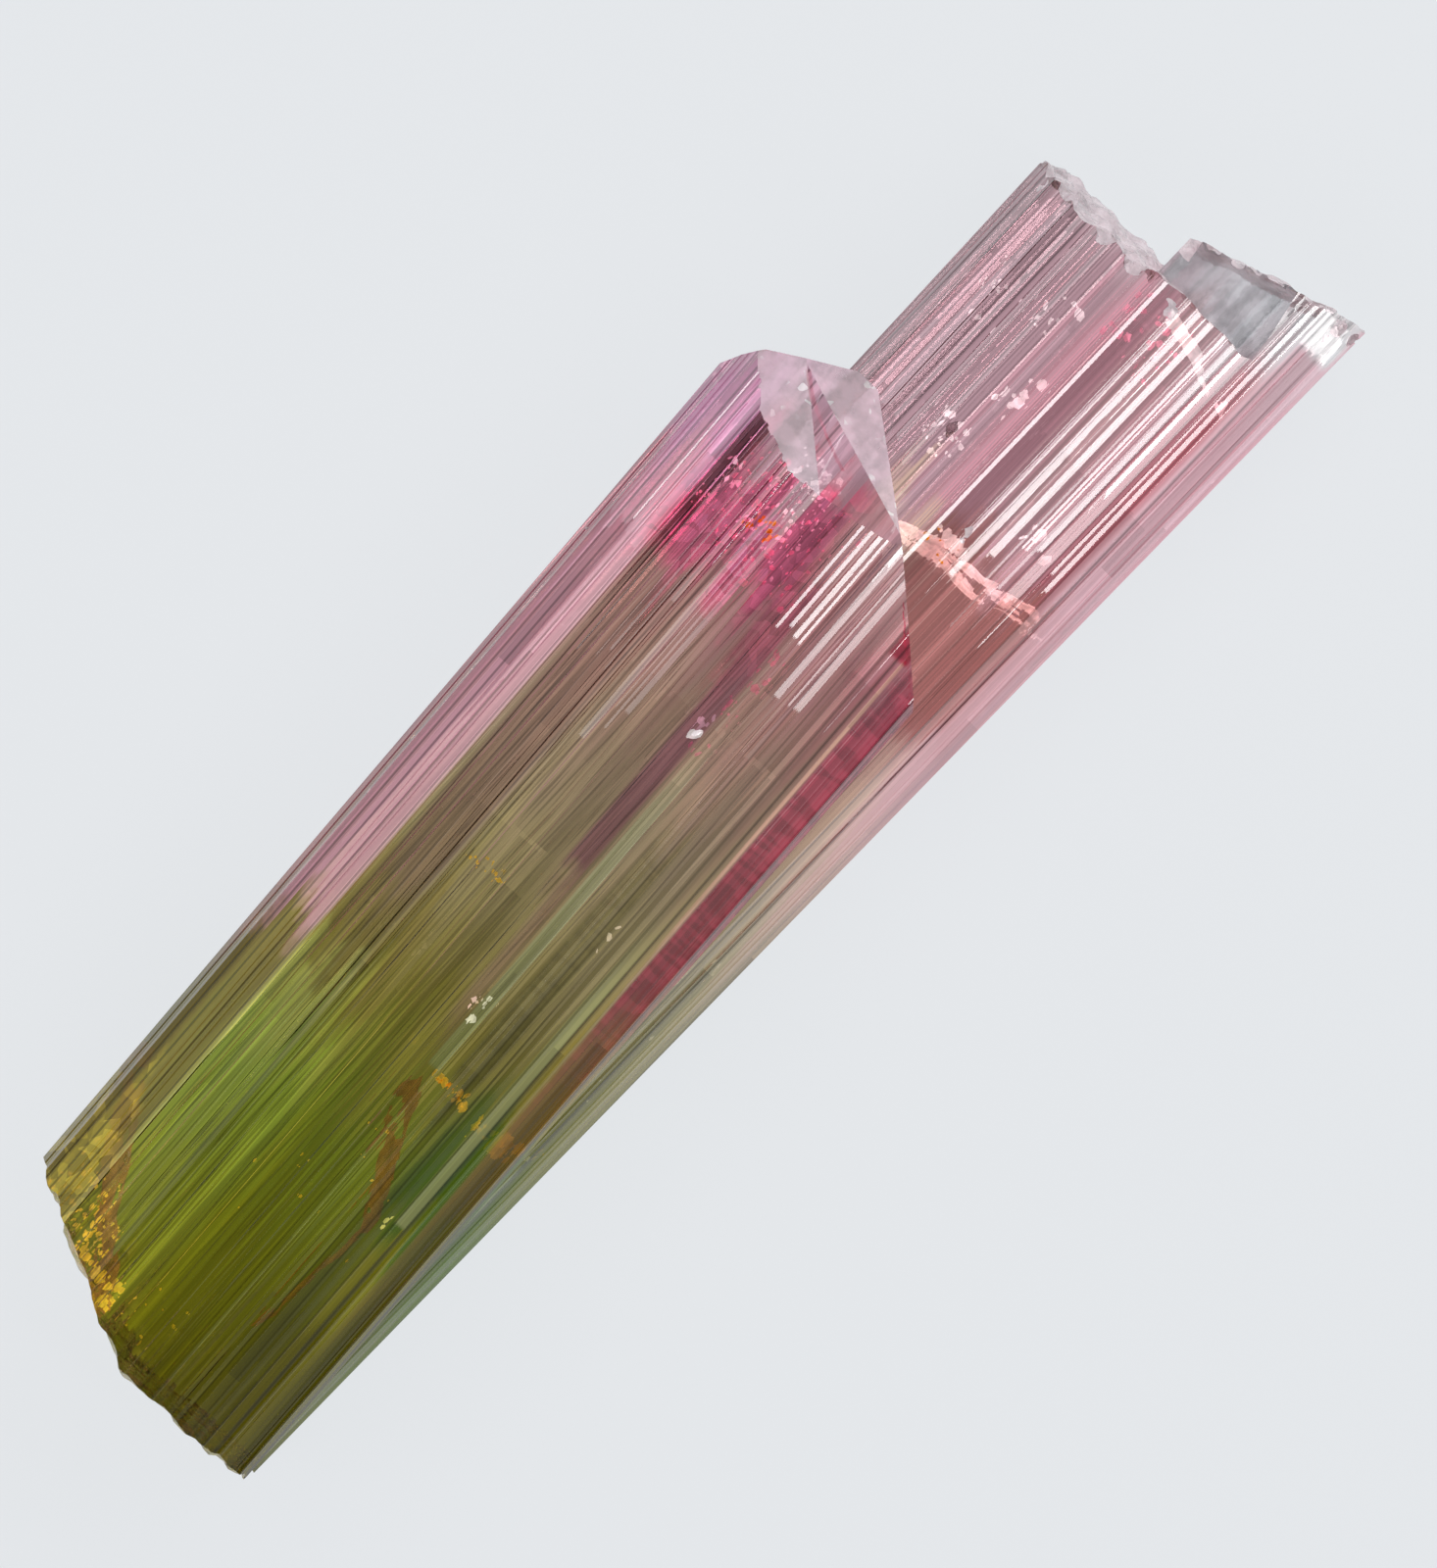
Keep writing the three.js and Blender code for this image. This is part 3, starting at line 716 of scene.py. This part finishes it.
def tourmaline(name, spec, ramp, zones, transmission=1.0, golden_corner=False):
    """Clear crystal with colour zones along one prism, and streaks and fine lines of painted light and
    shade along its striations.
    """
    n = Nodes(name)
    here = n.millimetres(spec["axis_at_base"], spec["turn"])
    straight, across, up = n.add("SeparateXYZ", {0: here}).outputs
    share = n.maths("DIVIDE", straight, spec["length"])
    ragged = n.maths("SUBTRACT", n.bars(across, 2.6)[0], 0.5)
    blotch = n.maths("SUBTRACT", n.noise(here, (0.5, 0.9, 0.9), 3.0), 0.5)
    along = n.maths("MULTIPLY_ADD", ragged, 2.2, straight)
    along = n.maths("MULTIPLY_ADD", blotch, 4.0, along)
    ribs = n.ease(n.noise(here, (3.2, 0.8, 0.8), 1.0), 0.4, 0.62, 1.1, 0.7)
    crackle = n.ease(n.cells(here, (2.4, 2.4, 2.4)), 0.1, 0.9, 0.6, 1.4)
    colour = n.ramp(along, ramp)
    for zone, (near, far), (low, high), soft_along, soft_across, shade, amount in zones:
        crisp = soft_along < 0.3
        reach = straight if crisp else along
        start = n.ease(reach, near - soft_along, near + soft_along, 0.0, amount)
        fade = CRISP_ZONE_FADE if crisp else soft_along
        within = n.maths("MULTIPLY", start, n.ease(reach, far + fade, far - fade))
        mask = n.maths("MULTIPLY", within, n.window(across, low, high, soft_across))
        shade = tint(shade)
        if zone in RIBBED:
            shade = n.mix(1.0, shade, n.grey(ribs), blend="MULTIPLY")
        if zone in CRACKLED:
            shade = n.mix(1.0, shade, n.grey(crackle), blend="MULTIPLY")
        colour = n.mix(mask, colour, shade)
    if golden_corner:
        beyond = n.maths("MULTIPLY_ADD", along, -0.78, across)
        mask = n.ease(beyond, -0.9, 0.3, 0.0, 0.85)
        shade = n.mix(1.0, tint((178, 154, 54)), n.grey(crackle), blend="MULTIPLY")
        colour = n.mix(mask, colour, shade)
    for scale, low, high in PAINTED_LIGHT_STREAKS:
        tone = n.bar_tones(across, share, scale, low, high)
        colour = n.mix(1.0, colour, n.grey(tone), blend="MULTIPLY")
    # Thin dark lines along the striations are painted shade.
    lined = n.maths("GREATER_THAN", n.bars(across, 0.9)[1], 0.45)
    line = n.ease(n.bar_edges(across, 2.3), 0.06, 0.1, 1.0, 0.0)
    thin = n.ease(n.maths("MULTIPLY", line, lined), 0.0, 1.0, 1.0, 0.45)
    colour = n.mix(1.0, colour, n.grey(thin), blend="MULTIPLY")
    n.put(n.shader["Base Color"], colour)
    girth = n.maths("MULTIPLY_ADD", up, 0.37, across)
    n.bump(n.fine_ribs(girth, 3.2), 1.0, 0.03)
    return n.clear(transmission, 0.008)


def facet_finish(name, shade, painted_glint_share, transmission):
    """A smooth face, clouded just under the surface, with white specks that are painted glints."""
    n = Nodes(name)
    here = n.millimetres()
    cloud = n.ease(n.noise(here, (1.3, 1.3, 1.3), 5.0), 0.35, 0.65, 0.72, 1.3)
    colour = n.mix(1.0, tint(shade), n.grey(cloud), blend="MULTIPLY")
    # White specks are painted glints.
    painted_glints = n.maths(
        "MULTIPLY", n.ease(n.cells(here, (5, 5, 5)), 0.86, 0.9), n.ease(n.noise(here, (1, 1, 1)), 0.5, 0.6)
    )
    colour = n.mix(n.maths("MULTIPLY", painted_glints, painted_glint_share), colour, (1, 1, 1, 1))
    n.put(n.shader["Base Color"], colour)
    n.bump(n.noise(here, (2.5, 2.5, 2.5), 3.0), 0.2, 0.05)
    return n.clear(transmission, 0.08)


def crack_finish(name, colour, glow, alpha=1.0):
    """The bright, uneven look of a crack or a flake, which glows inside the crystal: the glow is painted
    light, an emission that stands for the light the crack reflects.
    """
    n = Nodes(name)
    here = n.millimetres()
    cloud = n.ease(n.noise(here, (2.5, 2.5, 2.5), 3.0), 0.3, 0.7, 0.65, 1.0)
    mottled = n.mix(1.0, (*colour, 1), n.grey(cloud), blend="MULTIPLY")
    n.put(n.shader["Base Color"], mottled)
    n.put(n.shader["Emission Color"], mottled)
    n.bump(n.noise(here, (5, 5, 5), 2.0), 0.4, 0.05)
    # Painted light: the emission makes the crack glow as if it reflected the lamps.
    n.shader["Emission Strength"].default_value = glow
    n.shader["Roughness"].default_value = 0.25
    n.shader["Metallic"].default_value = 0.4
    n.shader["Alpha"].default_value = alpha
    return n.material


def broken_finish(name, colour, transmission):
    """A rough, sparkling break."""
    n = Nodes(name)
    here = n.millimetres()
    grain = n.ease(n.noise(here, (2.2, 2.2, 2.2), 4.0), 0.3, 0.7, 0.75, 1.1)
    colour = n.mix(1.0, (*colour, 1), n.grey(grain), blend="MULTIPLY")
    n.put(n.shader["Base Color"], colour)
    n.bump(n.noise(here, (6, 6, 6), 4.0), 0.6, 0.12)
    return n.clear(transmission, 0.16)


def area_light(name, place, aim, size, brightness, colour=(1, 1, 1)):
    """A rectangular light whose face has the given brightness, whatever its size."""
    light = bpy.data.lights.new(name, "AREA")
    light.shape = "RECTANGLE"
    light.size, light.size_y = size
    light.energy = 4 * size[0] * size[1] * brightness
    light.color = colour
    lamp = bpy.data.objects.new(name, light)
    lamp.location = place
    lamp.rotation_euler = (Vector(aim) - Vector(place)).to_track_quat("-Z", "Y").to_euler()
    bpy.context.scene.collection.objects.link(lamp)


# The camera looks straight down, turned so that the prisms rise to the upper right.
FRAME_HEIGHT = 48.64
CAMERA_DISTANCE = 500.0
FOCUS_HEIGHT = 7.0
CAMERA_AIM = (25.91, 0.578)
CAMERA_ROLL = math.radians(-46.5)
SENSOR = 36


def add_camera():
    data = bpy.data.cameras.new("camera")
    data.sensor_width = SENSOR
    data.lens = SENSOR * CAMERA_DISTANCE / FRAME_HEIGHT
    data.clip_start = 0.01
    data.clip_end = 10
    aim = PLACE @ Vector((*CAMERA_AIM, FOCUS_HEIGHT + CAMERA_DISTANCE))
    camera = bpy.data.objects.new("camera", data)
    camera.matrix_world = Matrix.Translation(aim) @ Matrix.Rotation(CAMERA_ROLL, 4, "Z")
    bpy.context.scene.collection.objects.link(camera)
    bpy.context.scene.camera = camera


def add_floor():
    bm = bmesh.new()
    bmesh.ops.create_grid(bm, x_segments=1, y_segments=1, size=2.0)
    bmesh.ops.translate(bm, verts=bm.verts, vec=(0, 0, -0.05 * MM))
    plane = linked(bm, "floor")
    n = Nodes("pale floor")
    n.shader["Base Color"].default_value = (0.06, 0.06, 0.063, 1)
    n.shader["Roughness"].default_value = 0.6
    n.shader["Emission Color"].default_value = (0.94, 0.97, 1, 1)
    n.shader["Emission Strength"].default_value = 0.76
    plane.data.materials.append(n.material)


def add_studio():
    world = bpy.data.worlds.new("studio")
    world.use_nodes = True
    nodes, links = world.node_tree.nodes, world.node_tree.links
    direction = nodes.new("ShaderNodeTexCoord")
    split = nodes.new("ShaderNodeSeparateXYZ")
    height = nodes.new("ShaderNodeMapRange")
    height.interpolation_type = "SMOOTHSTEP"
    for name, value in {"From Min": 0.9, "From Max": 0.35, "To Min": 0.04, "To Max": 0.45}.items():
        height.inputs[name].default_value = value
    links.new(direction.outputs["Generated"], split.inputs[0])
    links.new(split.outputs["Z"], height.inputs["Value"])
    links.new(height.outputs["Result"], nodes["Background"].inputs["Strength"])
    nodes["Background"].inputs["Color"].default_value = (0.9, 0.94, 1, 1)
    bpy.context.scene.world = world
    area_light("base side panel", (-0.26, 0, 0.42), (0, 0, 0), (0.6, 0.22), 1.3)
    area_light("tip side panel", (0.26, 0, 0.42), (0, 0, 0), (0.6, 0.22), 1.3)
    area_light("upper left low", (0.02, 0.34, 0.13), (0.02, 0, 0.008), (0.06, 0.14), 1.2, (1, 0.94, 1))
    area_light("upper left high", (0.02, 0.2, 0.36), (0.02, 0, 0), (0.06, 0.12), 1.6)
    area_light("tip side low", (0.36, 0.0, 0.1), (0.01, 0, 0.008), (0.2, 0.09), 2.0)
    area_light("facet", (0.32, 0.105, 0.24), (0.01, 0, 0.008), (0.1, 0.1), 2.5)
    area_light("tip glow", (0.031, -0.18, 0.39), (0.02, 0, 0.007), (0.024, 0.12), 8.5)
    area_light("tip glow below", (0.031, -0.265, 0.39), (0.02, 0, 0.007), (0.024, 0.04), 4.5)
    bpy.context.scene.view_settings.view_transform = "Standard"


add_camera()
add_floor()
add_studio()
# The tip facets' pale lilac is partly their own colour and partly a painted reflection; their white specks
# are painted glints.
facets = facet_finish("tip facets", (176, 146, 158), 0.9, 0.6)
body = crystal(
    (
        tourmaline("short prism", SHORT, SHORT_RAMP, SHORT_ZONES, golden_corner=True),
        tourmaline("short prism edges", SHORT, SHORT_RAMP, SHORT_ZONES, 0.45, True),
        facets,
    ),
    (
        tourmaline("long prism", LONG, LONG_RAMP, LONG_ZONES),
        tourmaline("long prism edges", LONG, LONG_RAMP, LONG_ZONES, 0.45),
    ),
    # The ledge's grey is a painted reflection of a grey backdrop in its mirror-flat face.
    facet_finish("ledge", (172, 172, 176), 0.2, 0.85),
    broken_finish("tip breaks", (1.0, 0.9, 0.93), 0.5),
    broken_finish("base breaks", (0.72, 0.58, 0.16), 0.8),
)
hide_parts("tourmaline_crystal")
# The cracks and flakes glow by emission, which is painted light.
white = crack_finish("white glint flakes", (1.0, 0.97, 0.97), 1.1)
pink = crack_finish("pink flakes", (1.0, 0.5, 0.62), 0.8)
golden = crack_finish("golden flakes", (1.0, 0.74, 0.16), 0.6)
amber = crack_finish("iron stain", (1.0, 0.46, 0.01), 0.7)
brown = crack_finish("brown veil", (0.55, 0.3, 0.17), 0.4, 0.55)
rose = crack_finish("rose fracture", (1.0, 0.84, 0.83), 1.05, 0.9)
crimson = crack_finish("crimson edge", (0.7, 0.08, 0.18), 0.5, 0.8)
inside = [
    flakes("white_glint_flakes", 3, white, body, WHITE_GLINT_CLUSTERS),
    flakes("pink_flakes", 4, pink, body, PINK_CLUSTERS),
    flakes("golden_flakes", 5, golden, body, GOLDEN_CLUSTERS),
    flakes("iron_stain", 6, amber, body, AMBER_CLUSTERS),
    crack("base_veil", 2, brown, body, BASE_VEIL, (-0.4, 0.3, -2.0), torn_above=0.3),
    crack("streak_veil", 3, brown, body, STREAK_VEIL, (-0.8, 0.5, -1.2), torn_above=0.3),
    crack("long_fracture", 4, rose, body, LONG_FRACTURE, (-0.6, 0.1, -3.2), wave=0.2),
    crack("crest_crumbs", 11, white, body, CREST_CRUMBS, (-0.45, -0.1, -0.25), 0.1, 0.08),
    crack("corner_crumbs", 12, white, body, CORNER_CRUMBS, (0.1, -0.95, -1.8), 0.05, 0.3),
    crack("ridge_line", 5, crimson, body, RIDGE_LINE, (-0.14, 0.08, -0.3), 0.06, 1.0),
    crack("tip_rim", 6, crimson, body, TIP_RIM, (-0.1, 0.1, -0.6), 0.02, 1.0),
]
for piece in [body] + inside:
    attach(piece, "root")
